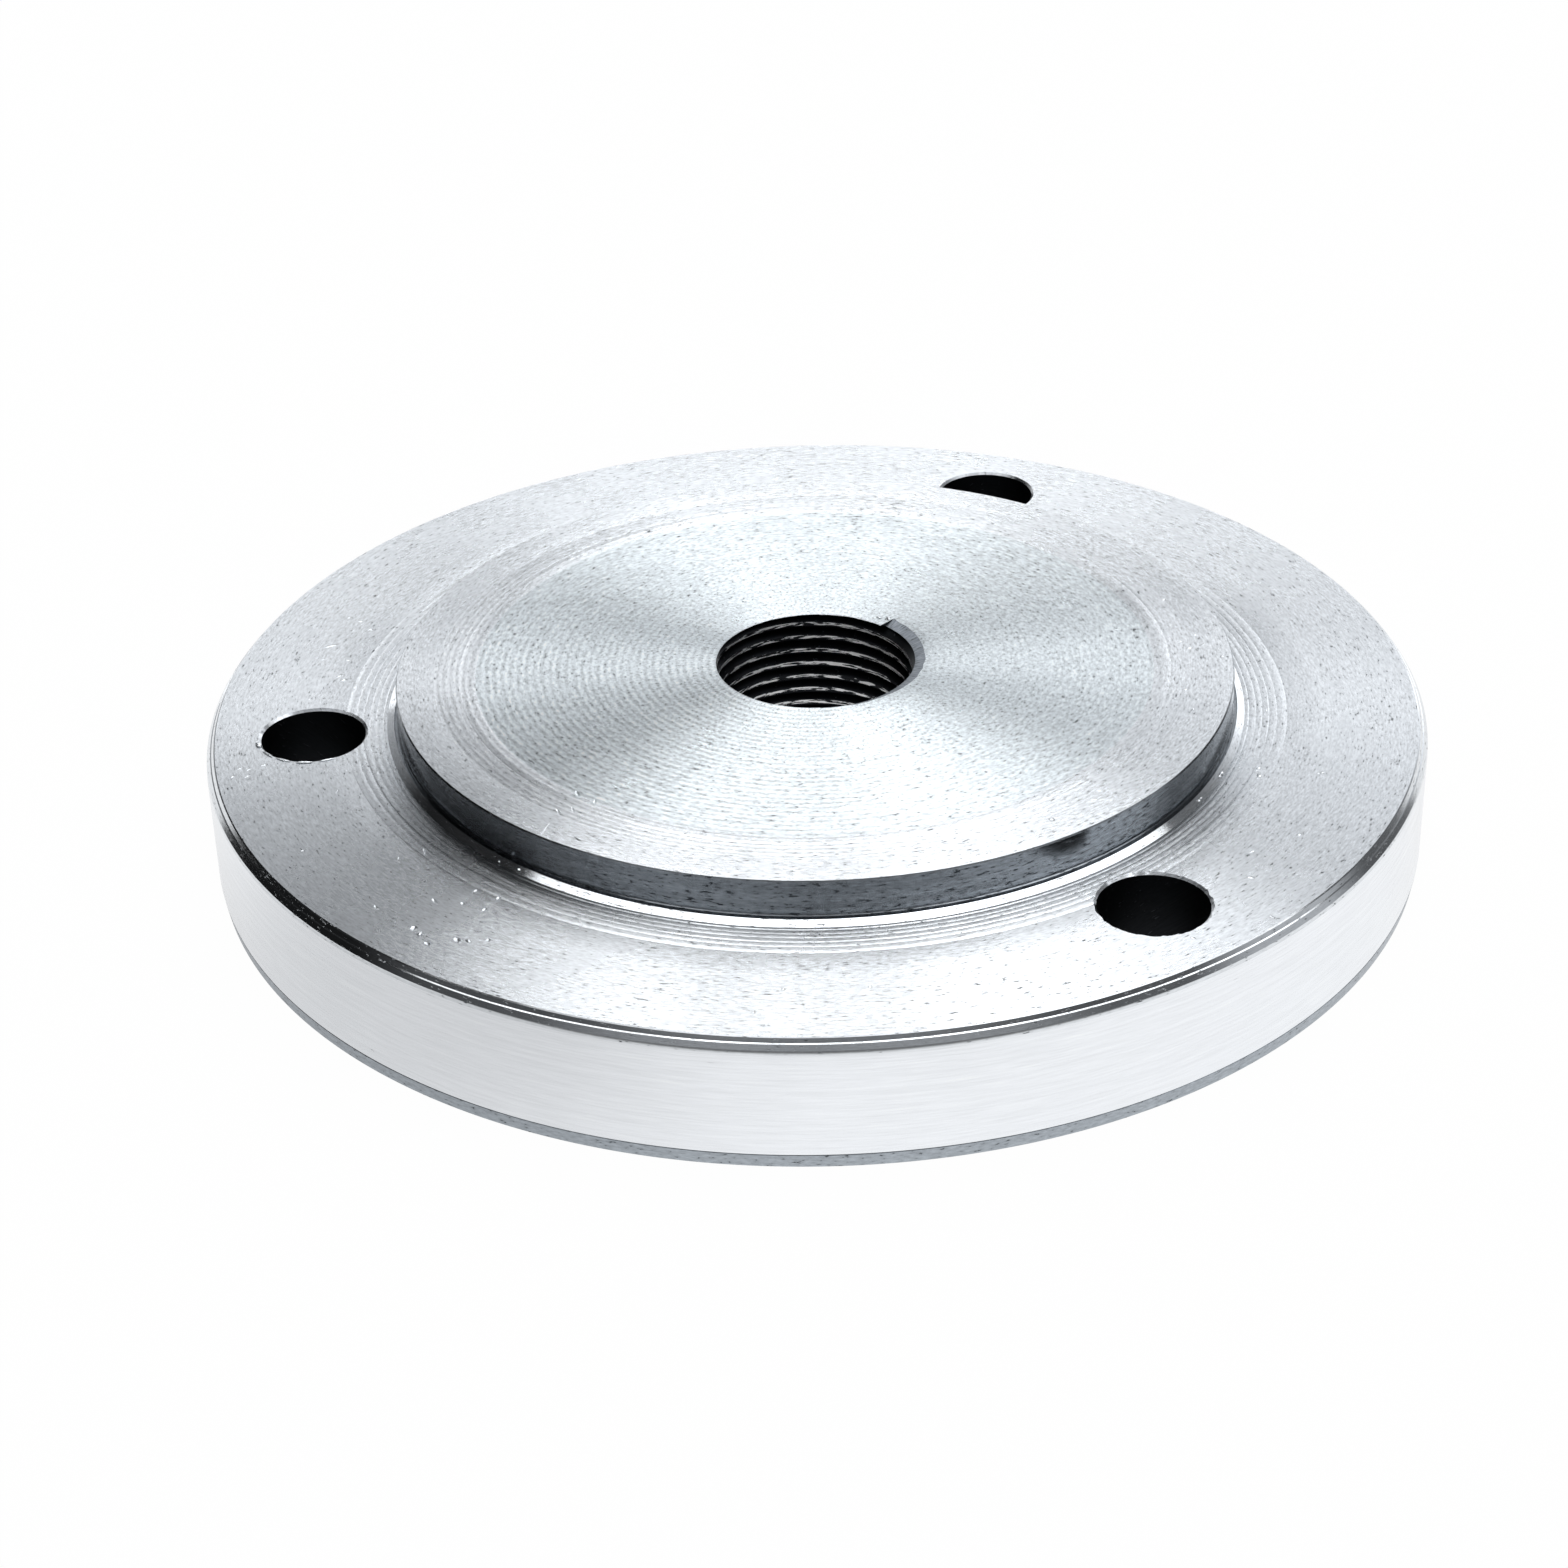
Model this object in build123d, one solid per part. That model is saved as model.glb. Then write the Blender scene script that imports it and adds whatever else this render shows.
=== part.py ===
from build123d import *
import os

# Backplate that carries an 80 mm three-jaw chuck on a threaded lathe spindle.
# It is one turned steel piece, in millimetres: the back face lies on z = 0,
# the spindle axis is Z, and the register that centres the chuck points up.

# Register, the raised disc that the chuck's recess slides over
register_diameter = 54.96
register_height = 2.7
register_edge_break = 0.12   # 45 degree break round the top of the register

# Dish, the slightly lower middle of the register's face
register_rim_width = 4.68    # ring left standing round the dish
dish_depth = 0.1

# Bolt holes for the chuck, drilled through the flange
bolt_count = 3
bolt_hole_diameter = 6.8     # clearance for an M6 bolt
register_to_hole = 2.12      # metal between the register and a hole: a 66 mm bolt circle
bolt_edge_break = 0.15
first_bolt_angle = 90.0      # degrees from +X, so the first hole lies on +Y

# Flange
hole_to_rim = 3.6            # metal between a hole and the rim: 80 mm across the flange
flange_thickness = 8.7
rim_chamfer = 0.5            # 45 degree break on the chuck side of the rim
foot_bevel_height = 0.9      # shallow bevel along the back edge of the rim
foot_bevel_inset = 0.15

# Spindle thread, bored here to its minor diameter
thread_diameter = 14.0
thread_pitch = 1.0
thread_depth_per_pitch = 0.54127   # height of a 60 degree metric thread's engaged flank
front_lead_in = 0.2          # radial width of the break at the dish
back_lead_in = 0.7           # radial width of the countersink that the spindle enters

register_radius = register_diameter / 2
register_top = flange_thickness + register_height
dish_level = register_top - dish_depth
bolt_circle_radius = register_radius + register_to_hole + bolt_hole_diameter / 2
flange_radius = bolt_circle_radius + bolt_hole_diameter / 2 + hole_to_rim
bore_radius = thread_diameter / 2 - thread_depth_per_pitch * thread_pitch


def turned_section():
    """Half section of the plate beside the axis, as (radius, height) points."""
    dish_radius = register_radius - register_rim_width
    return [
        (bore_radius + back_lead_in, 0),
        (flange_radius - foot_bevel_inset, 0),
        (flange_radius, foot_bevel_height),
        (flange_radius, flange_thickness - rim_chamfer),
        (flange_radius - rim_chamfer, flange_thickness),
        (register_radius, flange_thickness),
        (register_radius, register_top - register_edge_break),
        (register_radius - register_edge_break, register_top),
        (dish_radius, register_top),
        (dish_radius - dish_depth, dish_level),
        (bore_radius + front_lead_in, dish_level),
        (bore_radius, dish_level - front_lead_in),
        (bore_radius, back_lead_in),
    ]


def turned_blank():
    """The plate as it leaves the lathe, with its bore and without its bolt holes."""
    with BuildPart() as blank:
        with BuildSketch(Plane.XZ):
            with BuildLine():
                Polyline(*turned_section(), close=True)
            make_face()
        revolve(axis=Axis.Z)
    return blank.part


def bolt_hole_tool():
    """Cutter for one bolt hole: the drill with a small break at each face."""
    hole_radius = bolt_hole_diameter / 2
    with BuildPart() as tool:
        with BuildSketch(Plane.XZ):
            with BuildLine():
                Polyline(
                    (0, 0),
                    (hole_radius + bolt_edge_break, 0),
                    (hole_radius, bolt_edge_break),
                    (hole_radius, flange_thickness - bolt_edge_break),
                    (hole_radius + bolt_edge_break, flange_thickness),
                    (0, flange_thickness),
                    close=True,
                )
            make_face()
        revolve(axis=Axis.Z)
    return tool.part


def backplate():
    """The finished piece: the turned blank with its circle of bolt holes."""
    plate = turned_blank()
    places = PolarLocations(bolt_circle_radius, bolt_count, start_angle=first_bolt_angle)
    for place in places:
        plate = plate - place * bolt_hole_tool()
    return plate


os.makedirs("parts", exist_ok=True)
plate = backplate()
export_step(plate, "parts/backplate.step")
print("backplate: volume", round(plate.volume, 1), "mm3, height", round(plate.bounding_box().size.Z, 3))
print("spindle bore diameter", round(2 * bore_radius, 3))
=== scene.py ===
import math
import random
import bmesh
import bpy
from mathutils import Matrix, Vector


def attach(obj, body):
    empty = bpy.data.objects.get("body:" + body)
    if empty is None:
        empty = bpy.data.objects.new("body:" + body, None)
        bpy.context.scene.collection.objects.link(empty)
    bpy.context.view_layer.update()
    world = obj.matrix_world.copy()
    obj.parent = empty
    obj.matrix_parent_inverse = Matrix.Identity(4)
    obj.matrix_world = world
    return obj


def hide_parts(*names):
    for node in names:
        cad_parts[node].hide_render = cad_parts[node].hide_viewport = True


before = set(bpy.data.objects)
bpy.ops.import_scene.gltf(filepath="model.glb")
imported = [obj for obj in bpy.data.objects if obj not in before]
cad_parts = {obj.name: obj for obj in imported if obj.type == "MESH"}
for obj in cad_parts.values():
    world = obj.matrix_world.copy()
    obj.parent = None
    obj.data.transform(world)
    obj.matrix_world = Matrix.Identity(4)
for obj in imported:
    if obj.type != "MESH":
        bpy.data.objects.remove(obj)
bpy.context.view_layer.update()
mm = 0.001
dice = random.Random(14)
print("frame loaded")


# Small helpers for modelling. Tests for selecting get places in mm.

def deselectAll():
    if bpy.context.mode != "OBJECT":
        bpy.ops.object.mode_set(mode="OBJECT")
    bpy.ops.object.select_all(action="DESELECT")


def workOn(piece):
    deselectAll()
    bpy.context.view_layer.objects.active = piece
    piece.select_set(True)


def editPiece(piece):
    workOn(piece)
    bpy.ops.object.mode_set(mode="EDIT")


def leaveEdit():
    bpy.ops.object.mode_set(mode="OBJECT")


def selectPoints(piece, test):
    mesh = bmesh.from_edit_mesh(piece.data)
    bpy.context.tool_settings.mesh_select_mode = (True, False, False)
    for point in mesh.verts:
        point.select_set(bool(test(point.co / mm)))
    mesh.select_flush_mode()
    bmesh.update_edit_mesh(piece.data)


def selectEdges(piece, test):
    mesh = bmesh.from_edit_mesh(piece.data)
    bpy.context.tool_settings.mesh_select_mode = (False, True, False)
    for edge in mesh.edges:
        edge.select_set(bool(test(edge.verts[0].co / mm, edge.verts[1].co / mm)))
    mesh.select_flush_mode()
    bmesh.update_edit_mesh(piece.data)


def pointNormalsOut():
    bpy.ops.mesh.select_all(action="SELECT")
    bpy.ops.mesh.normals_make_consistent(inside=False)


def closeOpenEnds():
    bpy.ops.mesh.select_all(action="DESELECT")
    bpy.ops.mesh.select_non_manifold()
    bpy.ops.mesh.edge_face_add()
    pointNormalsOut()


def turnRings(profile, facets, centre=(0, 0)):
    # a turned surface: each ring of the profile is extruded from the one before and resized
    radius, height = profile[0]
    pivot = (centre[0] * mm, centre[1] * mm, 0)
    deselectAll()
    bpy.ops.mesh.primitive_circle_add(
        vertices=facets, radius=radius * mm, fill_type="NOTHING",
        location=(pivot[0], pivot[1], height * mm))
    piece = bpy.context.object
    bpy.ops.object.transform_apply(location=True, rotation=True, scale=True)
    bpy.ops.object.mode_set(mode="EDIT")
    bpy.context.tool_settings.mesh_select_mode = (False, True, False)
    bpy.ops.mesh.select_all(action="SELECT")
    for nextRadius, nextHeight in profile[1:]:
        growth = nextRadius / radius
        bpy.ops.mesh.extrude_edges_move(
            TRANSFORM_OT_translate={"value": (0, 0, (nextHeight - height) * mm)})
        bpy.ops.transform.resize(value=(growth, growth, 1), center_override=pivot)
        radius, height = nextRadius, nextHeight
    return piece


# After a cut, points nearer than "join" become one and slivers under "sliver" go, both in mm
cleaning = {"join": 0.0004, "sliver": 0.0002}


def combine(piece, tool, operation):
    workOn(piece)
    step = piece.modifiers.new("step", "BOOLEAN")
    step.operation = operation
    step.solver = "EXACT"
    step.object = tool
    bpy.ops.object.modifier_apply(modifier=step.name)
    bpy.data.objects.remove(tool)
    editPiece(piece)
    bpy.ops.mesh.select_all(action="SELECT")
    bpy.ops.mesh.remove_doubles(threshold=cleaning["join"] * mm)
    bpy.ops.mesh.select_all(action="SELECT")
    bpy.ops.mesh.dissolve_degenerate(threshold=cleaning["sliver"] * mm)
    leaveEdit()


def polar(radius, degrees):
    turn = math.radians(degrees)
    return radius * math.cos(turn), radius * math.sin(turn)


def report(stage, piece):
    mesh = bmesh.new()
    mesh.from_mesh(piece.data)
    print(stage, "open edges", sum(1 for edge in mesh.edges if not edge.is_manifold),
          "volume in mm3", round(mesh.calc_volume() / mm ** 3, 1),
          "triangles", sum(len(face.verts) - 2 for face in mesh.faces))
    mesh.free()


# The plate as it leaves the lathe, in mm
plate = {
    "facets": 384,
    "flangeRadius": 40.0,
    "flangeTop": 8.7,
    "registerRadius": 27.48,
    "registerTop": 11.4,
    "dishRadius": 22.8,
    "dishSlope": 0.55,          # width of the slope down into the dish
    "dishLevel": 11.3,
    "mouthRadius": 8.2,         # plain ring round the bore, inside this
    "boreRadius": 6.459,
    "backLeadIn": 0.7,
    # points of the edges: how far out from the rim or the register's wall, and height
    "foot": ((-0.15, 0), (-0.01, 0.86), (-0.05, 0.9), (0, 0.94)),   # bevel, and the line over it
    "rimEnd": ((0, 7.6), (-0.015, 7.85), (-0.035, 8.0), (-0.06, 8.08)),     # draws in a little
    # the chamfer is cut in two steps, each with a small flat over it
    "chamfer": ((-0.29, 8.38), (-0.37, 8.42), (-0.535, 8.65), (-0.62, 8.7)),
    "shoulderFoot": ((0, 8.97), (0.03, 9.0), (-0.04, 9.05)),        # a lip where two cuts met
    "shoulderTop": ((-0.04, 11.3), (-0.12, 11.4)),
    # the corner round the register, a slope up towards the wall: radius, and height over the flange
    "corner": ((28.32, 0), (28.2, -0.03), (27.72, 0.225), (27.68, 0.1), (27.48, 0.1)),
    "flangeRings": (36, 33),    # plain rings that divide the flange
    # marks of the tool
    "backPlain": 14,            # no marks inside this
    "backRings": (18, 22, 26, 37.5, 38.6),
    "backFeed": 1.1,            # width of one mark on the back
    "backHollow": 0.4,          # where it is deepest, as a share of its width
    "backDepth": 0.015,
    "rimMarks": (1.6, 7.4, 0.9, 0.006),         # from and to height, width and depth of one
    "shoulderMarks": (9.06, 11.15, 0.22, 0.007),
    "shoulderInset": 0.04,
    "rootRings": (28.5, 28.95, 29.35, 29.8, 30.3, 30.95),   # on the flange beside the register
    "rootRingDepth": 0.03,
    "rootRingSides": (0.1, 0.08),               # its width outwards and inwards
    "ledge": (24.95, 23.1),                     # marks from and to this radius
    "ledgeFeed": 0.36,
    "ledgeFeedDepth": 0.034,
    "dishEnd": 8.6,                             # marks in the dish end at this radius
    "dishFeed": 0.52,
    "dishFeedDepth": 0.026,
}

# How uneven the marks are: step and depth as shares of the width and depth of one, and where in
# the step it is deepest
uneven = {
    "feedStep": (0.75, 1.3), "feedDepth": (0.4, 1.0), "feedHollow": 0.55,
    "wallStep": (0.7, 1.4), "wallDepth": (0.3, 1.0), "wallHollow": 0.5,
    "ringDepth": (0.6, 1.2),
}


def feedMarks(outer, inner, level, width, depth):
    # ridges and hollows of the tool's feed, from the outside in
    u = uneven
    marks = []
    radius = outer
    while radius - width > inner:
        step = width * dice.uniform(*u["feedStep"])
        hollow = depth * dice.uniform(*u["feedDepth"])
        marks += [(radius - step * u["feedHollow"], level - hollow), (radius - step, level)]
        radius -= step
    return marks


def wallMarks(radius, low, high, width, depth):
    # fine grooves round a wall, from the bottom up
    u = uneven
    marks = []
    height = low
    while height + width < high:
        step = width * dice.uniform(*u["wallStep"])
        hollow = depth * dice.uniform(*u["wallDepth"])
        marks += [(radius - hollow, height + step * u["wallHollow"]), (radius, height + step)]
        height += step
    return marks


def pointsFrom(radius, level, points):
    return [(radius + out, level + up) for out, up in points]


def plateProfile():
    # half section from the back's lead-in round the rim, the register and the dish to the bore
    p = plate
    rim, top = p["flangeRadius"], p["flangeTop"]
    register, crown = p["registerRadius"], p["registerTop"]
    dish, floor = p["dishRadius"], p["dishLevel"]
    bore, leadIn = p["boreRadius"], p["backLeadIn"]
    profile = [(bore + leadIn, 0), (p["backPlain"], 0)]
    for radius in p["backRings"]:
        deepest = radius + p["backFeed"] * p["backHollow"]
        profile += [(radius, 0), (deepest, p["backDepth"]), (radius + p["backFeed"], 0)]
    profile += pointsFrom(rim, 0, p["foot"])
    profile += wallMarks(rim, *p["rimMarks"])
    profile += pointsFrom(rim, 0, p["rimEnd"])
    profile += pointsFrom(rim, 0, p["chamfer"])
    profile += [(radius, top) for radius in p["flangeRings"]]
    outside, inside = p["rootRingSides"]
    for radius in reversed(p["rootRings"]):
        hollow = top - p["rootRingDepth"] * dice.uniform(*uneven["ringDepth"])
        profile += [(radius + outside, top), (radius, hollow), (radius - inside, top)]
    profile += pointsFrom(0, top, p["corner"])
    profile += pointsFrom(register, 0, p["shoulderFoot"])
    profile += wallMarks(register - p["shoulderInset"], *p["shoulderMarks"])
    profile += pointsFrom(register, 0, p["shoulderTop"])
    ledgeOuter, ledgeInner = p["ledge"]
    profile += [(ledgeOuter, crown)]
    profile += feedMarks(ledgeOuter, ledgeInner, crown, p["ledgeFeed"], p["ledgeFeedDepth"])
    dishFoot = dish - p["dishSlope"]
    profile += [(dish, crown), (dishFoot, floor)]
    profile += feedMarks(dishFoot, p["dishEnd"], floor, p["dishFeed"], p["dishFeedDepth"])
    profile += [(p["mouthRadius"], floor), (bore, floor), (bore, leadIn)]
    return profile


def turnPlate():
    piece = turnRings(plateProfile(), plate["facets"])
    piece.name = piece.data.name = "turned_plate"
    selectEdges(piece, lambda a, b: False)      # edge mode, with nothing selected
    bpy.ops.mesh.select_non_manifold()
    bpy.ops.mesh.bridge_edge_loops()        # the lead-in closes the last ring to the first
    pointNormalsOut()
    leaveEdit()
    return piece


turnedPlate = turnPlate()
report("plate turned:", turnedPlate)

# Bolt holes, in mm
boltHoles = {
    "circleRadius": 33.0,
    "radius": 3.4,
    "edgeBreak": 0.15,
    "facets": 96,
    "below": 0.1,           # how far the drill reaches past the back
    "above": 0.2,           # and past the flange
    "places": ((90, 0.02), (210, 0.04), (330, 0.1)),    # angle, raggedness of the upper edge
}


def drillHoles(piece):
    h = boltHoles
    top, wall, edgeBreak = plate["flangeTop"], h["radius"], h["edgeBreak"]
    edge = wall + edgeBreak
    profile = [(edge + h["below"], -h["below"]), (wall, edgeBreak), (wall, top - edgeBreak),
               (edge, top), (edge + h["above"], top + h["above"])]
    for angle, ragged in h["places"]:
        drill = turnRings(profile, h["facets"], polar(h["circleRadius"], angle))
        selectPoints(drill, lambda point: abs(point.z - top) < edgeBreak / 2)
        bpy.ops.transform.vertex_random(offset=ragged * mm, seed=int(angle))
        closeOpenEnds()
        leaveEdit()
        combine(piece, drill, "DIFFERENCE")


drillHoles(turnedPlate)
report("bolt holes drilled:", turnedPlate)

# The spindle thread, a groove cut up the bore, in mm and degrees
thread = {
    "pitch": 1.0,
    "turns": 14,
    "rootRadius": 7.0,
    "rootFlat": 0.125,
    "innerRadius": 6.4,
    "flankAngle": 30,
    "stepsPerTurn": 96,
    "lip": 0.04,            # thin lip left over the groove at the dish
    "crestDepth": 0.7,      # depth of the first crest below the dish, on the far side
    "farSide": 113.0,       # angle of the far side
    "join": 0.0001,         # points of the groove nearer than this become one
}


def cutThread(piece):
    t = thread
    depth = t["rootRadius"] - t["innerRadius"]
    innerWidth = t["rootFlat"] + 2 * depth * math.tan(math.radians(t["flankAngle"]))
    topMiddle = plate["dishLevel"] - t["crestDepth"] + 0.5 * t["pitch"]
    start = topMiddle - t["pitch"] * (t["turns"] - 1) - t["farSide"] / 360 * t["pitch"]
    middle = (t["rootRadius"] + t["innerRadius"]) / 2
    # the groove's section, narrowed to the flat at its root
    deselectAll()
    bpy.ops.mesh.primitive_plane_add(
        size=1, location=(middle * mm, 0, start * mm), rotation=(math.radians(90), 0, 0))
    tool = bpy.context.object
    tool.scale = (depth * mm, innerWidth * mm, 1)
    bpy.ops.object.transform_apply(location=True, rotation=True, scale=True)
    editPiece(tool)
    selectEdges(tool, lambda a, b: min(a.x, b.x) > middle)
    bpy.ops.transform.resize(value=(1, 1, t["rootFlat"] / innerWidth),
                             center_override=(t["rootRadius"] * mm, 0, start * mm))
    leaveEdit()
    sweep = tool.modifiers.new("sweep", "SCREW")
    sweep.axis = "Z"
    sweep.angle = math.radians(360)
    sweep.screw_offset = t["pitch"] * mm
    sweep.iterations = t["turns"] + 1
    sweep.steps = sweep.render_steps = t["stepsPerTurn"]
    bpy.ops.object.modifier_apply(modifier=sweep.name)
    editPiece(tool)
    bpy.ops.mesh.select_all(action="SELECT")
    bpy.ops.mesh.remove_doubles(threshold=t["join"] * mm)
    bpy.ops.mesh.select_all(action="SELECT")
    bpy.ops.mesh.bisect(
        plane_co=(0, 0, (plate["dishLevel"] - t["lip"]) * mm), plane_no=(0, 0, 1),
        use_fill=True, clear_outer=True, threshold=t["join"] * mm)
    closeOpenEnds()
    leaveEdit()
    combine(piece, tool, "DIFFERENCE")


cutThread(turnedPlate)
report("thread cut:", turnedPlate)

# The crescent torn off the mouth of the bore, a wedge that widens as it goes round
crescent = {
    "start": 296,           # degrees
    "end": 429,
    "steps": 28,
    "startRadius": 6.5,     # mm
    "endRadius": 7.75,
    "innerShare": 0.88,     # inner edge of the slope, as a share of the outer one
    "depth": 0.26,
    "above": 0.08,          # how far the tool stands over the dish
    "clearInside": 4.5,     # where it ends in the open bore
    "ragged": 0.035,
    "seed": 5,
}


def cutCrescent(piece):
    c = crescent
    level = plate["dishLevel"]
    inner = c["startRadius"] * c["innerShare"]
    slope = (c["startRadius"] - inner) / c["depth"]
    top = c["startRadius"] + slope * c["above"]
    middle = (top + c["clearInside"]) / 2
    deselectAll()
    bpy.ops.mesh.primitive_plane_add(
        size=1, rotation=(math.radians(90), 0, 0),
        location=(middle * mm, 0, (level + (c["above"] - c["depth"]) / 2) * mm))
    tool = bpy.context.object
    tool.scale = ((top - c["clearInside"]) * mm, (c["above"] + c["depth"]) * mm, 1)
    bpy.ops.object.transform_apply(location=True, rotation=True, scale=True)
    tool.rotation_euler.z = math.radians(c["start"])
    editPiece(tool)
    selectPoints(tool, lambda point: point.x > middle and point.z < level)
    bpy.ops.transform.translate(value=((inner - top) * mm, 0, 0), orient_type="LOCAL")
    leaveEdit()
    bpy.ops.object.transform_apply(location=True, rotation=True, scale=True)
    editPiece(tool)
    bpy.ops.mesh.select_all(action="SELECT")
    turn = math.radians(c["end"] - c["start"]) / c["steps"]
    growth = (c["endRadius"] / c["startRadius"]) ** (1 / c["steps"])
    for step in range(c["steps"]):
        bpy.ops.mesh.extrude_region_move()
        bpy.ops.transform.rotate(value=-turn, orient_axis="Z", center_override=(0, 0, 0))
        bpy.ops.transform.resize(value=(growth, growth, 1), center_override=(0, 0, 0))
    selectPoints(tool, lambda point: point.z > level and point.xy.length > middle)
    bpy.ops.transform.vertex_random(offset=c["ragged"] * mm, seed=c["seed"])
    pointNormalsOut()
    leaveEdit()
    combine(piece, tool, "DIFFERENCE")


cutCrescent(turnedPlate)
report("crescent cut:", turnedPlate)

# Marks of use, by the face that they are on. Each is radius, angle, length, width, depth and its
# heading from the radius, in mm and degrees.
hollowMarks = {
    "register": (
        (24.8, 40, 0.5, 0.28, 0.06, 70), (24.2, 26, 0.4, 0.2, 0.05, 20),
        (25.2, 27.6, 0.55, 0.16, 0.05, 45), (25.6, 24.7, 0.6, 0.2, 0.06, 40),
        (24.7, 23.8, 0.35, 0.2, 0.05, 0), (26.7, 21, 0.4, 0.2, 0.05, 60),
        (24.4, 10.6, 0.3, 0.2, 0.05, 0), (23.9, 7.4, 0.45, 0.25, 0.07, 80),
        (25.3, 4.7, 0.45, 0.14, 0.05, 80), (25.3, 327, 0.35, 0.28, 0.07, 30),
        (24.7, 337.3, 0.5, 0.16, 0.05, 20), (25.2, 335, 0.55, 0.18, 0.05, 30),
        (27.1, 339.4, 0.4, 0.12, 0.05, 10), (24.6, 253.4, 0.9, 0.18, 0.06, 60),
        (23.9, 254.7, 0.8, 0.16, 0.05, 50), (25.7, 262.4, 1.9, 0.13, 0.05, 5),
        (26.4, 259.9, 0.9, 0.12, 0.05, 75), (26.6, 255, 1.3, 0.13, 0.05, 20),
    ),
    "dish": (
        (20.5, 32.6, 0.4, 0.25, 0.06, 10), (22.2, 251.7, 0.8, 0.2, 0.05, 60),
        (22.3, 255.6, 0.6, 0.2, 0.05, 40), (10.1, 79, 0.3, 0.25, 0.05, 0),
        (9.1, 120, 0.25, 0.2, 0.05, 0), (11.5, 56.4, 0.35, 0.3, 0.06, 0),
        (9.1, 55.5, 0.25, 0.2, 0.05, 0), (10.3, 321.5, 0.3, 0.22, 0.05, 0),
        (10.2, 265.7, 0.3, 0.25, 0.05, 0), (12.3, 158.3, 0.25, 0.2, 0.04, 0),
    ),
    "flange": (
        (29.57, 16, 0.7, 0.12, 0.05, 80), (30.0, 1.7, 0.5, 0.22, 0.06, 80),
        (30.3, 359.9, 0.5, 0.22, 0.06, 80), (33.8, 3, 0.7, 0.1, 0.04, 40),
        (35.0, 350.2, 0.35, 0.25, 0.06, 80), (33.5, 344.4, 0.7, 0.14, 0.05, 75),
        (35.1, 340.5, 0.5, 0.25, 0.07, 20), (37.2, 328.8, 0.35, 0.2, 0.06, 20),
        (38.7, 336.5, 0.5, 0.12, 0.05, 0), (34.6, 182, 0.4, 0.16, 0.05, 30),
        (33.6, 182.4, 0.5, 0.14, 0.05, 30), (32.4, 184, 0.4, 0.18, 0.05, 30),
        (34.1, 189, 0.9, 0.2, 0.07, 35), (34.0, 192.3, 0.4, 0.16, 0.05, 60),
        (32.2, 192, 0.4, 0.2, 0.06, 0), (32.2, 196, 0.6, 0.2, 0.06, 45),
        (31.8, 197, 0.45, 0.3, 0.08, 30), (30.8, 199, 0.5, 0.2, 0.05, 80),
        (33.6, 201.6, 0.3, 0.22, 0.06, 0), (37.9, 215.6, 0.5, 0.14, 0.05, 40),
        (37.3, 216, 0.45, 0.14, 0.05, 40), (38.4, 217, 0.4, 0.2, 0.05, 40),
        (37.5, 217.3, 0.5, 0.14, 0.05, 40), (36.3, 215.5, 0.4, 0.2, 0.05, 0),
        (30.0, 218, 0.9, 0.1, 0.05, 60), (29.4, 220.4, 1.0, 0.1, 0.05, 80),
        (32.4, 223.6, 0.5, 0.12, 0.05, 60), (36.4, 252, 0.55, 0.4, 0.09, 60),
        (31.0, 254.9, 0.4, 0.3, 0.07, 50), (31.2, 251.8, 0.35, 0.25, 0.06, 20),
        (32.7, 252.6, 0.45, 0.25, 0.06, 70), (32.4, 255.2, 0.4, 0.3, 0.07, 30),
        (35.8, 256.7, 0.7, 0.35, 0.09, 70), (36.4, 246.6, 0.5, 0.2, 0.05, 80),
        (37.1, 254.9, 0.6, 0.25, 0.06, 80), (34.8, 259.2, 0.4, 0.25, 0.06, 60),
        (32.3, 240.7, 0.6, 0.16, 0.04, 60), (30.6, 241, 0.6, 0.16, 0.05, 60),
        (36.6, 233.3, 0.25, 0.2, 0.05, 0), (33.6, 250, 0.7, 0.2, 0.05, 70),
        (34.7, 297.8, 0.3, 0.22, 0.05, 0), (37.1, 287.2, 0.3, 0.2, 0.05, 0),
        (34.7, 289.6, 0.3, 0.2, 0.05, 0),
    ),
}
# burrs and thrown-up metal
raisedMarks = {
    "flange": (
        (36.55, 211.2, 0.7, 0.35, 0.14, 101), (35.99, 213.4, 0.95, 0.16, 0.07, 123),
        (35.05, 215.0, 1.0, 0.16, 0.07, 143), (33.76, 216.1, 1.0, 0.16, 0.08, 165),
        (32.32, 216.2, 0.95, 0.14, 0.06, 8), (36.6, 253.1, 0.4, 0.25, 0.07, 40),
        (35.5, 257.6, 0.5, 0.2, 0.06, 70), (27.95, 249, 0.5, 0.2, 0.1, 60),
        (27.9, 252.4, 0.5, 0.25, 0.12, 80), (28.0, 358.6, 0.7, 0.25, 0.1, 90),
        (27.95, 351.5, 0.6, 0.22, 0.1, 90),
    ),
    "dish": (
        (7.55, 71.4, 0.5, 0.16, 0.07, 60), (7.25, 75.6, 0.35, 0.14, 0.07, 100),
    ),
}
markLevels = {"register": plate["registerTop"], "dish": plate["dishLevel"],
              "flange": plate["flangeTop"]}
markShape = {
    "detail": 2,            # of the ball that makes it
    "lift": 0.15,           # how far its middle stands over the face, as a share of the depth
    "spread": 0.6,          # its half length and width, as a share of the mark's
}


def layMark(ball, level, radius, angle, length, width, depth, heading):
    # a flattened ball whose middle stands a little over the face, turned along the mark
    s = markShape
    place = polar(radius, angle)
    copy = bpy.data.objects.new("mark", ball.data.copy())
    bpy.context.scene.collection.objects.link(copy)
    copy.location = (place[0] * mm, place[1] * mm, (level + depth * s["lift"]) * mm)
    copy.scale = (length * s["spread"] * mm, width * s["spread"] * mm,
                  depth * (1 + s["lift"]) * mm)
    copy.rotation_euler.z = math.radians(angle + heading)
    return copy


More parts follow.
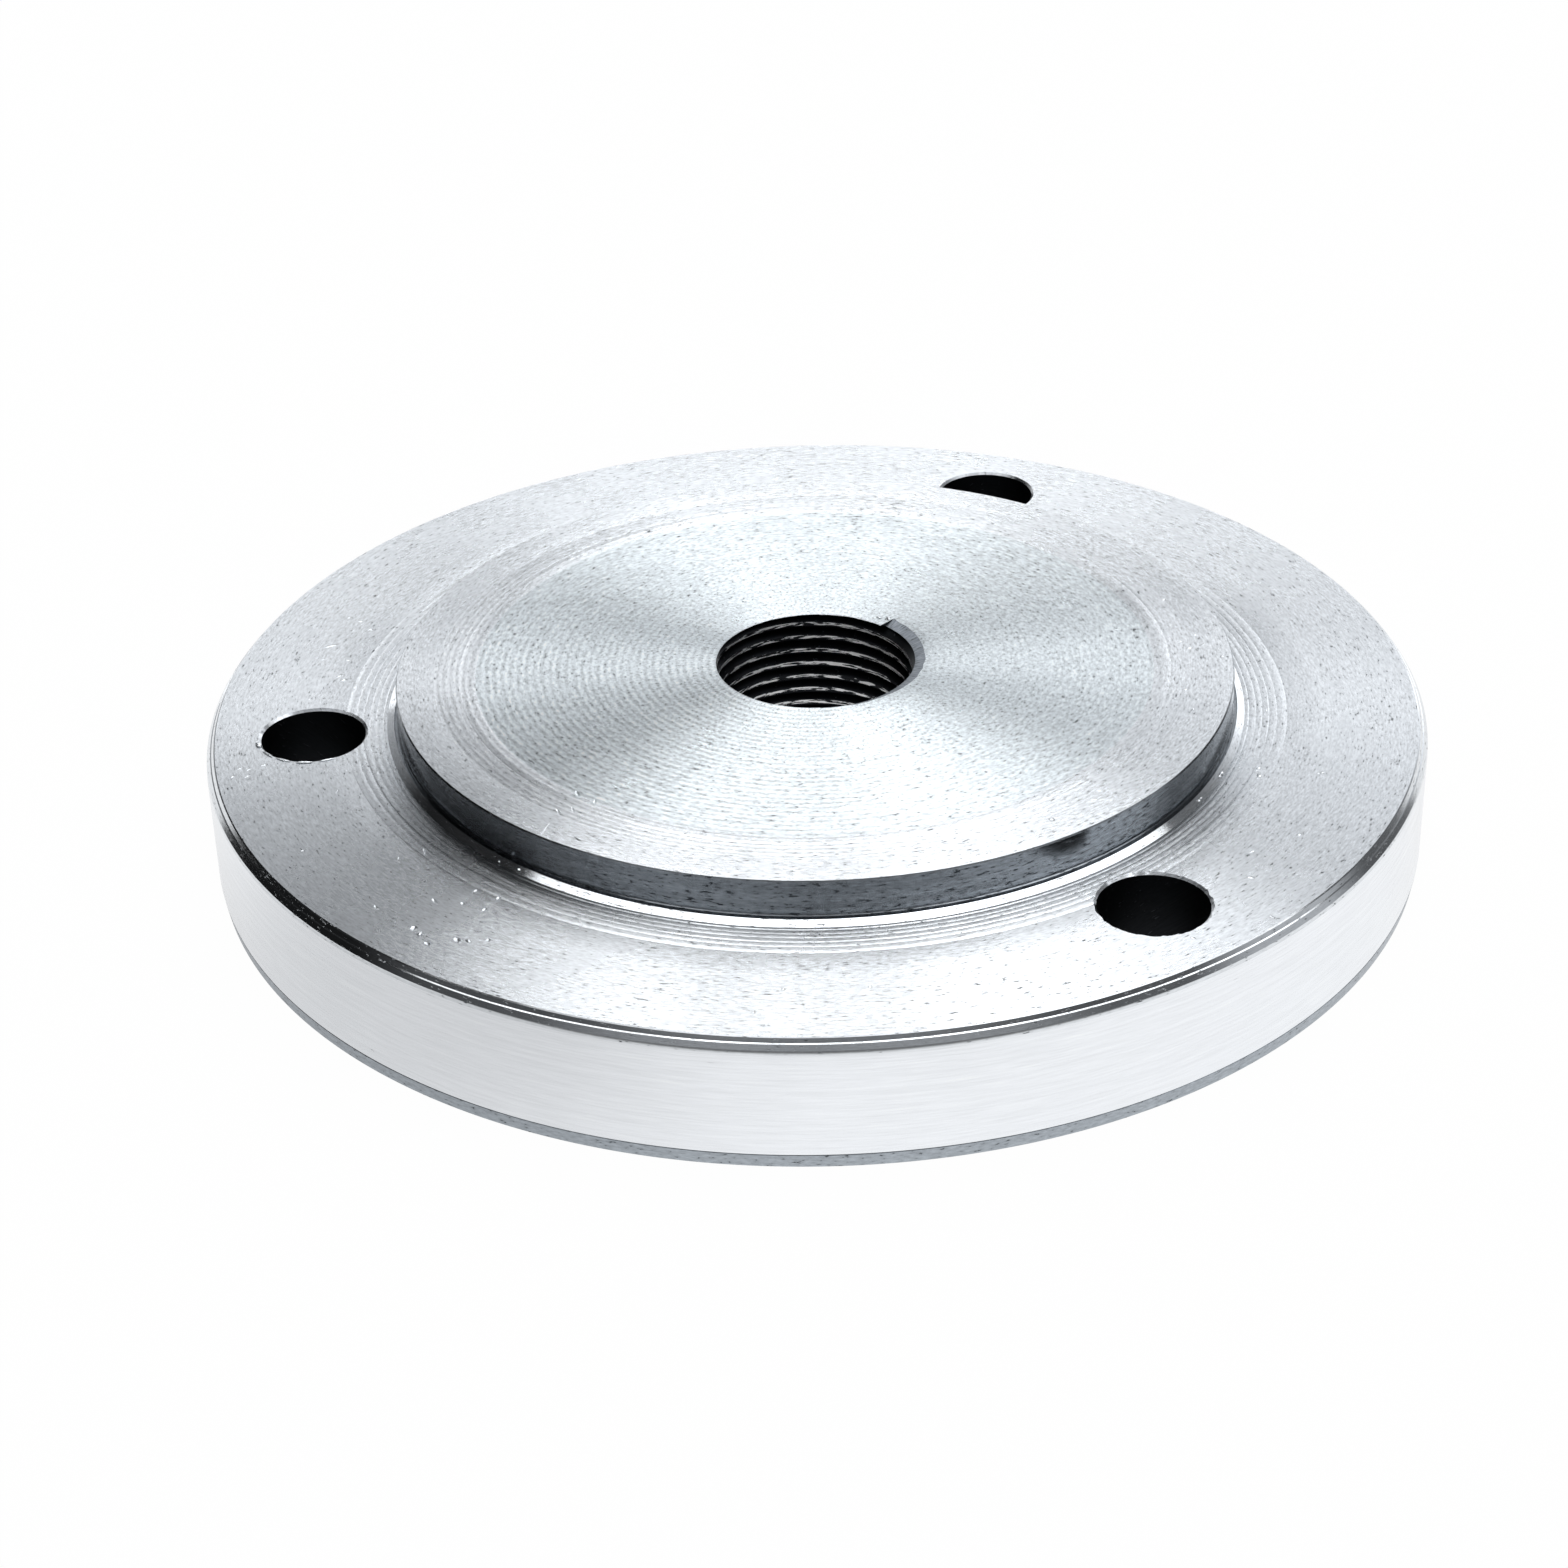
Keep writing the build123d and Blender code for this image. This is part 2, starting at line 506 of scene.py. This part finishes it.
def joinMarks(copies):
    deselectAll()
    for copy in copies:
        copy.select_set(True)
    bpy.context.view_layer.objects.active = copies[0]
    bpy.ops.object.transform_apply(location=True, rotation=True, scale=True)
    bpy.ops.object.join()
    return bpy.context.object


def wearPlate(piece):
    deselectAll()
    bpy.ops.mesh.primitive_ico_sphere_add(subdivisions=markShape["detail"], radius=1)
    ball = bpy.context.object
    for table, operation in ((hollowMarks, "DIFFERENCE"), (raisedMarks, "UNION")):
        copies = [layMark(ball, markLevels[face], *mark) for face in table for mark in table[face]]
        combine(piece, joinMarks(copies), operation)
    bpy.data.objects.remove(ball)


wearPlate(turnedPlate)
report("marks of use made:", turnedPlate)

smoothAngle = 20        # degrees: flatter edges than this look round
workOn(turnedPlate)
bpy.ops.object.shade_smooth_by_angle(angle=math.radians(smoothAngle))
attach(turnedPlate, "root")
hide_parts("backplate")


# Materials

def linear(hexColour):
    parts = [int(hexColour[i:i + 2], 16) / 255 for i in (1, 3, 5)]
    return [c / 12.92 if c <= 0.04045 else ((c + 0.055) / 1.055) ** 2.4 for c in parts] + [1]


def emptyTree(owner):
    owner.use_nodes = True
    owner.node_tree.nodes.clear()
    return owner.node_tree


def addNode(tree, kind, settings, inputs):
    node = tree.nodes.new(kind)
    for name, value in settings.items():
        setattr(node, name, value)
    for name, value in inputs.items():
        if isinstance(value, bpy.types.NodeSocket):
            tree.links.new(value, node.inputs[name])
        else:
            node.inputs[name].default_value = value
    return node


# Carbon steel turned on a lathe and left bare. To the eye it is bright and a little blue, with fine
# round grooves that spread each highlight into a streak across them. Sizes are in mm.
turned = {
    "colour": "#e1e5e9", "roughness": 0.27, "roughnessSwing": 0.02, "anisotropy": 1.0,
    "grooveWidth": 0.14, "grooveDepth": 0.0015,     # the tool's feed
    "bandWidth": 0.9, "bandTone": 0.05,             # slow change of tone from ring to ring
    "feedWidth": 0.45, "feedTone": 0.0,             # rings that show as lines
    "feedSide": 250,                                # angle at which they show most
    "feedFade": (-0.1, 0.9), "feedFaint": 0.25,     # how they fade away from it, and to what
    # short dashes along the grooves, and the radius at which they have that length
    "dashLength": 0.5, "dashWidth": 0.14, "dashDepth": 0.005, "dashTone": 0.2, "dashRadius": 33,
    # dark pits where the dashes are lowest
    "stain": "#44484d", "pitLevel": 0.31, "pitEdge": 0.04, "pitDepth": 0.008,
    "cloudSize": 5.0, "cloudTone": 0.03,            # faint clouds of handling
}
finishes = {
    # faced flange: fine even grooves
    "faced_steel_flange": turned,
    # the ring that carries the dish's edge: the finest cut
    "faced_steel_register": dict(turned, dashRadius=26, dashTone=0.25, grooveDepth=0.001),
    # inside that ring the tool left lines
    "lined_steel_register": dict(
        turned, dashRadius=24, dashTone=0.25, feedWidth=0.42, feedTone=0.16),
    # and on the flange beside the register's wall too
    "lined_steel_flange": dict(turned, dashRadius=30, feedWidth=0.45, feedTone=0.1),
    # the dish: coarser feed and a grainy surface
    "faced_steel_dish": dict(
        turned, dashRadius=15, colour="#dde4e8", roughness=0.29, grooveWidth=0.22,
        grooveDepth=0.004, feedWidth=0.52, feedTone=0.15, dashLength=0.35, dashWidth=0.2,
        dashDepth=0.008, dashTone=0.34, cloudTone=0.08),
    # the outside of the rim: smooth, with faint long marks
    "turned_steel_rim": dict(
        turned, dashRadius=40, colour="#f4f7fb", roughness=0.16, bandWidth=0.35, dashLength=3.0,
        dashTone=0.045, cloudTone=0.03, pitLevel=0.2),
    # the corner round the register, burnished where the tool dwelt: it mirrors the lamps as a
    # bright line
    "burnished_steel_corner": dict(
        turned, dashRadius=27.9, roughness=0.12, anisotropy=0.6, grooveDepth=0.0005,
        dashDepth=0.002, dashTone=0.15),
    # chamfer cut by a form tool: nearly polished, so it mirrors the dark room
    "cut_steel_chamfer": dict(
        turned, dashRadius=40, roughness=0.12, anisotropy=0.6, grooveDepth=0.0005,
        dashDepth=0.0006, dashTone=0.1),
    # the register's wall: a slow finishing cut with fine lines, in a darker colour that is painted
    # shade for the dark room that it mirrors
    "turned_steel_shoulder": dict(
        turned, dashRadius=27, colour="#959a9f", roughness=0.11, grooveDepth=0.002,
        bandWidth=0.25, bandTone=0.2, dashLength=0.6, dashTone=0.25, pitLevel=0.35),
    # foot of the rim, rougher and darker in colour: the darker colour is painted shade for the
    # shaded floor that it mirrors by the contact
    "steel_foot_painted_shade": dict(
        turned, dashRadius=40, colour="#aab1b8", roughness=0.36, anisotropy=0.5),
    # thread flanks, nearly black: painted shade deep in the bore
    "steel_flank_painted_shade": dict(
        turned, dashRadius=6.7, colour="#232528", roughness=0.35, anisotropy=0.3),
    # thread crests, rough and lighter in colour than the rest: the lighter colour is a painted
    # highlight along the crests
    "steel_crest_painted_highlight": dict(
        turned, dashRadius=6.5, colour="#f0f2f4", stain="#2a2c2f", roughness=0.5,
        anisotropy=0.2, dashLength=1.2, dashTone=0.4, pitLevel=0.48, pitDepth=0.004),
    # torn metal of the crescent, dull with short hatching across it
    "torn_steel_crescent": dict(
        turned, dashRadius=7.2, colour="#858b92", roughness=0.40, anisotropy=0.2,
        dashLength=0.15, dashWidth=0.5, dashTone=0.5, dashDepth=0.012, pitLevel=0.36),
    # drilled walls, rough, in a dark colour that is painted shade inside the holes
    "drilled_steel_hole": dict(turned, colour="#26282b", roughness=0.45, anisotropy=0.0),
}
noiseLow, noiseHigh = 0.3, 0.7      # nearly all of a noise lies between these


def steel(name, look):
    tree = emptyTree(bpy.data.materials.new(name))

    # place on the piece in mm, and from it the radius, the height and the two directions
    place = addNode(tree, "ShaderNodeTexCoord", {}, {}).outputs["Object"]
    place = addNode(tree, "ShaderNodeVectorMath", {"operation": "SCALE"}, {
        0: place, "Scale": 1 / mm}).outputs[0]
    flat = addNode(tree, "ShaderNodeVectorMath", {"operation": "MULTIPLY"}, {
        0: place, 1: (1, 1, 0)}).outputs[0]
    outward = addNode(tree, "ShaderNodeVectorMath", {"operation": "NORMALIZE"}, {
        0: flat}).outputs[0]
    radius = addNode(tree, "ShaderNodeVectorMath", {"operation": "LENGTH"}, {
        0: flat}).outputs["Value"]
    height = addNode(tree, "ShaderNodeSeparateXYZ", {}, {0: place}).outputs["Z"]
    # distance across the grooves, on a face or up a wall alike
    across = addNode(tree, "ShaderNodeMath", {"operation": "SUBTRACT"}, {
        0: radius, 1: height}).outputs[0]
    roundAxis = addNode(tree, "ShaderNodeVectorMath", {"operation": "CROSS_PRODUCT"}, {
        0: (0, 0, 1), 1: outward}).outputs[0]

    grooves = addNode(tree, "ShaderNodeTexNoise", {"noise_dimensions": "1D"}, {
        "W": across, "Scale": 1 / look["grooveWidth"], "Detail": 3, "Roughness": 0.6}).outputs[0]
    bands = addNode(tree, "ShaderNodeTexNoise", {"noise_dimensions": "1D"}, {
        "W": across, "Scale": 1 / look["bandWidth"], "Detail": 2, "Roughness": 0.5}).outputs[0]
    # the dashes are a noise whose place goes round the axis and steps across the grooves
    along = addNode(tree, "ShaderNodeVectorMath", {"operation": "SCALE"}, {
        0: outward, "Scale": look["dashRadius"] / look["dashLength"]}).outputs[0]
    step = addNode(tree, "ShaderNodeMath", {"operation": "MULTIPLY"}, {
        0: across, 1: 1 / look["dashWidth"]}).outputs[0]
    step = addNode(tree, "ShaderNodeCombineXYZ", {}, {"Z": step}).outputs[0]
    dashPlace = addNode(tree, "ShaderNodeVectorMath", {"operation": "ADD"}, {
        0: along, 1: step}).outputs[0]
    dashes = addNode(tree, "ShaderNodeTexNoise", {}, {
        "Vector": dashPlace, "Scale": 1, "Detail": 3, "Roughness": 0.6}).outputs[0]
    clouds = addNode(tree, "ShaderNodeTexNoise", {}, {
        "Vector": place, "Scale": 1 / look["cloudSize"], "Detail": 4, "Roughness": 0.6}).outputs[0]
    pits = addNode(tree, "ShaderNodeMapRange", {}, {
        "Value": dashes, "From Min": look["pitLevel"] + look["pitEdge"],
        "From Max": look["pitLevel"]}).outputs[0]

    depth = addNode(tree, "ShaderNodeMath", {"operation": "MULTIPLY"}, {
        0: grooves, 1: look["grooveDepth"]}).outputs[0]
    depth = addNode(tree, "ShaderNodeMath", {"operation": "MULTIPLY_ADD"}, {
        0: dashes, 1: look["dashDepth"], 2: depth}).outputs[0]
    depth = addNode(tree, "ShaderNodeMath", {"operation": "MULTIPLY_ADD"}, {
        0: pits, 1: -look["pitDepth"], 2: depth}).outputs[0]
    relief = addNode(tree, "ShaderNodeBump", {}, {
        "Height": depth, "Strength": 1, "Distance": mm}).outputs[0]

    # lines of the feed, a little uneven in their spacing
    phase = addNode(tree, "ShaderNodeMath", {"operation": "MULTIPLY_ADD"}, {
        0: across, 1: 2 * math.pi / look["feedWidth"], 2: bands}).outputs[0]
    lines = addNode(tree, "ShaderNodeMath", {"operation": "SINE"}, {0: phase}).outputs[0]
    side = addNode(tree, "ShaderNodeVectorMath", {"operation": "DOT_PRODUCT"}, {
        0: outward, 1: (*polar(1, look["feedSide"]), 0)}).outputs["Value"]
    side = addNode(tree, "ShaderNodeMapRange", {}, {
        "Value": side, "From Min": look["feedFade"][0], "From Max": look["feedFade"][1],
        "To Min": look["feedFaint"], "To Max": 1.0}).outputs[0]
    lines = addNode(tree, "ShaderNodeMath", {"operation": "MULTIPLY"}, {
        0: lines, 1: side}).outputs[0]
    spots = addNode(tree, "ShaderNodeMapRange", {}, {
        "Value": dashes, "From Min": noiseLow, "From Max": noiseHigh}).outputs[0]

    # bands, dashes and clouds swing the tone evenly about 1
    tone = addNode(tree, "ShaderNodeMath", {"operation": "MULTIPLY_ADD"}, {
        0: bands, 1: 2 * look["bandTone"],
        2: 1 - look["bandTone"] - look["dashTone"] - look["cloudTone"]}).outputs[0]
    for pattern, share in ((spots, 2 * look["dashTone"]), (lines, look["feedTone"]),
                           (clouds, 2 * look["cloudTone"])):
        tone = addNode(tree, "ShaderNodeMath", {"operation": "MULTIPLY_ADD"}, {
            0: pattern, 1: share, 2: tone}).outputs[0]
    colour = addNode(tree, "ShaderNodeVectorMath", {"operation": "SCALE"}, {
        0: linear(look["colour"])[:3], "Scale": tone}).outputs[0]
    colour = addNode(tree, "ShaderNodeMix", {"data_type": "RGBA"}, {
        0: pits, 6: colour, 7: linear(look["stain"])}).outputs[2]
    roughness = addNode(tree, "ShaderNodeMapRange", {}, {
        "Value": clouds, "From Min": noiseLow, "From Max": noiseHigh,
        "To Min": look["roughness"] - look["roughnessSwing"],
        "To Max": look["roughness"] + look["roughnessSwing"]}).outputs[0]

    # a quarter turn lays the streak of a highlight across the grooves
    shader = addNode(tree, "ShaderNodeBsdfPrincipled", {}, {
        "Base Color": colour, "Roughness": roughness, "Normal": relief, "Tangent": roundAxis,
        "Metallic": 1.0, "Anisotropic": look["anisotropy"],
        "Anisotropic Rotation": 0.25}).outputs[0]
    addNode(tree, "ShaderNodeOutputMaterial", {}, {"Surface": shader})
    return bpy.data.materials[name]


finishNames = list(finishes)
for name in finishNames:
    turnedPlate.data.materials.append(steel(name, finishes[name]))

# Where each finish lies: radius from and to, height from and to, in mm. The first that fits counts.
finishZones = (
    ("torn_steel_crescent", (0, 8), (10.9, 11.295)),
    ("turned_steel_rim", (39.3, 41), (0.93, 7.79)),
    ("cut_steel_chamfer", (39.4, 41), (7.79, 12)),
    ("steel_foot_painted_shade", (39.3, 41), (0.001, 12)),
    ("turned_steel_shoulder", (27.3, 27.6), (8.6, 11.35)),
    ("burnished_steel_corner", (27.7, 28.2), (8.65, 12)),
    ("faced_steel_register", (24.96, 41), (11.34, 12)),
    ("lined_steel_register", (0, 24.96), (11.34, 12)),
    ("faced_steel_dish", (0, 41), (11.1, 12)),
    ("lined_steel_flange", (28.3, 31.1), (8, 12)),
    ("faced_steel_flange", (0, 41), (-1, 12)),
)
holeMargin = 0.02       # a hole's wall lies within this of its radius
# the thread goes by slope too: 0 is an upright face and 1 a level one
threadZone = {"radius": 7.3, "low": 0.02, "high": 11.28, "slope": 0.9}
crestZone = {"radius": 6.6, "slope": 0.2}


def finishOf(middle, normal):
    radius, height, slope = middle.xy.length, middle.z, abs(normal.z)
    h, t = boltHoles, threadZone
    for angle, ragged in h["places"]:
        away = (middle.xy - Vector(polar(h["circleRadius"], angle))).length
        if away < h["radius"] + holeMargin:
            return "drilled_steel_hole"
    if radius < t["radius"] and t["low"] < height < t["high"] and slope < t["slope"]:
        onCrest = slope < crestZone["slope"] and radius < crestZone["radius"]
        return "steel_crest_painted_highlight" if onCrest else "steel_flank_painted_shade"
    for finish, (inner, outer), (low, high) in finishZones:
        if inner < radius < outer and low < height < high:
            return finish


editPiece(turnedPlate)
surface = bmesh.from_edit_mesh(turnedPlate.data)
for face in surface.faces:
    finish = finishOf(face.calc_center_median() / mm, face.normal)
    face.material_index = finishNames.index(finish)
bmesh.update_edit_mesh(turnedPlate.data)
leaveEdit()
print("steel finished")

# Studio, in mm and degrees. Azimuths are seen from the plate: 0 is straight behind it, and they
# grow to the right. A brightness of 1 is white paper.
studio = {
    "behind": 113.16,       # the CAD angle of azimuth 0
    "floorSide": 4000,
    "paper": "#f4f4f4",
    "floorGlow": 0.985,     # how much of the floor that the camera sees is plain white
    "floorMirror": 0.96,    # how bright the steel mirrors it
    "paperEdge": (54, 78),  # where the paper fades out towards the camera
    "pastEdge": 0.2,        # and what the steel mirrors past that
    "floorShade": 0.72,     # what is left of that brightness in a patch at the left front
    "shadeAt": (58, -47),   # radius, azimuth from the front
    "shadeSpan": (12, 45),  # where the patch starts to fade, and ends
    "air": "#f5f7fa",
    "white": "#ffffff",
    # brightness of the walls by azimuth
    "lowWalls": {
        -180: 0.07, -140: 0.07, -105: 0.08, -92: 0.01, -44: 0.01, -36: 0.3, -29: 0.49, -8: 0.49,
        8: 0.8, 36: 1.15, 44: 0.3, 50: 0.12, 72: 0.12, 82: 0.55, 98: 0.5, 110: 0.11, 140: 0.06,
        180: 0.07},
    "highWalls": {
        -180: 0.35, -130: 0.55, -112: 0.6, -98: 0.2, -88: 0.02, -30: 0.02, -12: 0.2, 10: 0.6,
        25: 0.6, 36: 0.2, 68: 0.1, 80: 1.3, 105: 1.3, 125: 0.6, 180: 0.35},
    "highFrom": (0.53, 0.66),   # sine of the elevation where the low walls end and the high begin
    "lampDistance": 900,
    # name: azimuth, elevation, shift to the side, width, height, brightness
    "lamps": {
        # strips over the plate, whose gaps leave the darker streaks in its highlights
        "strip_left": (0, 66, -144, 143, 900, 2.35),
        "strip_middle": (0, 66, -27, 41, 900, 2.4),
        "strip_thin": (0, 66, 21, 28, 900, 2.15),
        "strip_right": (0, 66, 165, 233, 900, 1.95),
        # a wide dim ceiling, and two high lamps for the light lines of the corner and the chamfer
        "ceiling": (90, 84, -110, 620, 1220, 0.6),
        "high_left": (-67, 66, 0, 160, 400, 1.45),
        "high_right": (63, 60, 0, 190, 560, 1.45),
        # low cards behind the plate
        "card_left": (-22, 16, 0, 275, 413, 0.95),
        "card_right": (17, 16, 0, 624, 413, 0.48),
    },
}


# White uncoated paper. To the eye it is evenly white and without gloss.
def whitePaper():
    s = studio
    paper = bpy.data.materials.new("white_paper")
    tree = emptyTree(paper)
    path = addNode(tree, "ShaderNodeLightPath", {}, {}).outputs
    place = addNode(tree, "ShaderNodeTexCoord", {}, {}).outputs["Object"]
    # what the steel mirrors: white, less in the shaded patch and past the paper's near edge
    radius, azimuth = s["shadeAt"]
    patch = Vector((*polar(radius, s["behind"] + 180 + azimuth), 0)) * mm
    away = addNode(tree, "ShaderNodeVectorMath", {"operation": "DISTANCE"}, {
        0: place, 1: patch}).outputs["Value"]
    shade = addNode(tree, "ShaderNodeMapRange", {"interpolation_type": "SMOOTHSTEP"}, {
        "Value": away, "From Min": s["shadeSpan"][0] * mm, "From Max": s["shadeSpan"][1] * mm,
        "To Min": s["floorShade"], "To Max": 1.0}).outputs[0]
    forward = addNode(tree, "ShaderNodeVectorMath", {"operation": "DOT_PRODUCT"}, {
        0: place, 1: (*polar(1, s["behind"] + 180), 0)}).outputs["Value"]
    near = addNode(tree, "ShaderNodeMapRange", {"interpolation_type": "SMOOTHSTEP"}, {
        "Value": forward, "From Min": s["paperEdge"][0] * mm, "From Max": s["paperEdge"][1] * mm,
        "To Min": s["floorMirror"], "To Max": s["pastEdge"]}).outputs[0]
    near = addNode(tree, "ShaderNodeMath", {"operation": "MULTIPLY"}, {
        0: near, 1: shade}).outputs[0]
    strength = addNode(tree, "ShaderNodeMix", {"data_type": "FLOAT"}, {
        0: path["Is Glossy Ray"], 2: 1.0, 3: near}).outputs[0]
    # the camera and the steel see the glow, and all other light meets plain paper
    seen = addNode(tree, "ShaderNodeMath", {"operation": "MULTIPLY"}, {
        0: path["Is Camera Ray"], 1: s["floorGlow"]}).outputs[0]
    seen = addNode(tree, "ShaderNodeMath", {"operation": "MAXIMUM"}, {
        0: seen, 1: path["Is Glossy Ray"]}).outputs[0]
    matte = addNode(tree, "ShaderNodeBsdfDiffuse", {}, {"Color": linear(s["paper"])}).outputs[0]
    glow = addNode(tree, "ShaderNodeEmission", {}, {"Strength": strength}).outputs[0]
    mixed = addNode(tree, "ShaderNodeMixShader", {}, {0: seen, 1: matte, 2: glow}).outputs[0]
    addNode(tree, "ShaderNodeOutputMaterial", {}, {"Surface": mixed})
    return paper


deselectAll()
bpy.ops.mesh.primitive_plane_add(size=studio["floorSide"] * mm)
floor = bpy.context.object
floor.name = "floor"
floor.data.materials.append(whitePaper())


# The room that the steel mirrors, dark on the left and round the camera. The camera sees it white.
def paintRoom():
    s = studio
    room = bpy.data.worlds.new("studio_air")
    bpy.context.scene.world = room
    tree = emptyTree(room)
    path = addNode(tree, "ShaderNodeLightPath", {}, {}).outputs
    toward = addNode(tree, "ShaderNodeTexCoord", {}, {}).outputs["Generated"]
    behind = math.radians(s["behind"])
    backward = addNode(tree, "ShaderNodeVectorMath", {"operation": "DOT_PRODUCT"}, {
        0: toward, 1: (math.cos(behind), math.sin(behind), 0)}).outputs["Value"]
    sideways = addNode(tree, "ShaderNodeVectorMath", {"operation": "DOT_PRODUCT"}, {
        0: toward, 1: (math.sin(behind), -math.cos(behind), 0)}).outputs["Value"]
    azimuth = addNode(tree, "ShaderNodeMath", {"operation": "ARCTAN2"}, {
        0: sideways, 1: backward}).outputs[0]
    roundShare = addNode(tree, "ShaderNodeMath", {"operation": "MULTIPLY_ADD"}, {
        0: azimuth, 1: 0.5 / math.pi, 2: 0.5}).outputs[0]
    walls = []
    for stops in (s["lowWalls"], s["highWalls"]):
        ramp = addNode(tree, "ShaderNodeValToRGB", {}, {"Fac": roundShare})
        ends = ramp.color_ramp.elements
        while len(ends) < len(stops):
            ends.new(0.5)
        for stop, (angle, level) in zip(ends, stops.items()):
            stop.position = angle / 360 + 0.5
            stop.color = (level, level, level, 1)
        walls.append(ramp.outputs["Color"])
    rise = addNode(tree, "ShaderNodeSeparateXYZ", {}, {0: toward}).outputs["Z"]
    highShare = addNode(tree, "ShaderNodeMapRange", {"interpolation_type": "SMOOTHSTEP"}, {
        "Value": rise, "From Min": s["highFrom"][0], "From Max": s["highFrom"][1]}).outputs[0]
    strength = addNode(tree, "ShaderNodeMix", {"data_type": "FLOAT"}, {
        0: highShare, 2: walls[0], 3: walls[1]}).outputs[0]
    mirrored = addNode(tree, "ShaderNodeBackground", {}, {
        "Color": linear(s["air"]), "Strength": strength}).outputs[0]
    white = addNode(tree, "ShaderNodeBackground", {}, {
        "Color": linear(s["white"]), "Strength": 1.0}).outputs[0]
    mixed = addNode(tree, "ShaderNodeMixShader", {}, {
        0: path["Is Camera Ray"], 1: mirrored, 2: white}).outputs[0]
    addNode(tree, "ShaderNodeOutputWorld", {}, {"Surface": mixed})


def hangLamps():
    s = studio
    for name, (azimuth, elevation, shift, width, height, brightness) in s["lamps"].items():
        lamp = bpy.data.lights.new(name, "AREA")
        lamp.shape = "RECTANGLE"
        lamp.size, lamp.size_y = width * mm, height * mm
        lamp.energy = brightness * math.pi * lamp.size * lamp.size_y    # mirrored, 1 is paper
        holder = bpy.data.objects.new(name, lamp)
        bpy.context.scene.collection.objects.link(holder)
        lift = math.radians(elevation)
        away = Vector((*polar(math.cos(lift), s["behind"] - azimuth), math.sin(lift)))
        rightward = Vector((*polar(1, s["behind"] - azimuth - 90), 0))
        holder.location = (away * s["lampDistance"] + rightward * shift) * mm
        target = rightward * shift * mm
        holder.rotation_euler = (target - holder.location).to_track_quat("-Z", "Y").to_euler()


paintRoom()
hangLamps()

# Camera, found by fitting the plate's circles in the photograph: place in mm, turn in degrees
lens = {
    "place": (74.317, -173.702, 113.275),
    "turn": (59.467, 1.362, 23.028),
    "sensor": 36,
    "focal": 74.870,
    "nearest": 10,          # nothing nearer than this is seen
}
camera = bpy.data.cameras.new("camera")
camera.sensor_width = lens["sensor"]
camera.lens = lens["focal"]
camera.clip_start = lens["nearest"] * mm
viewer = bpy.data.objects.new("camera", camera)
bpy.context.scene.collection.objects.link(viewer)
viewer.location = Vector(lens["place"]) * mm
viewer.rotation_euler = [math.radians(angle) for angle in lens["turn"]]
bpy.context.scene.camera = viewer
bpy.context.scene.view_settings.view_transform = "Standard"
print("studio set")

deselectAll()
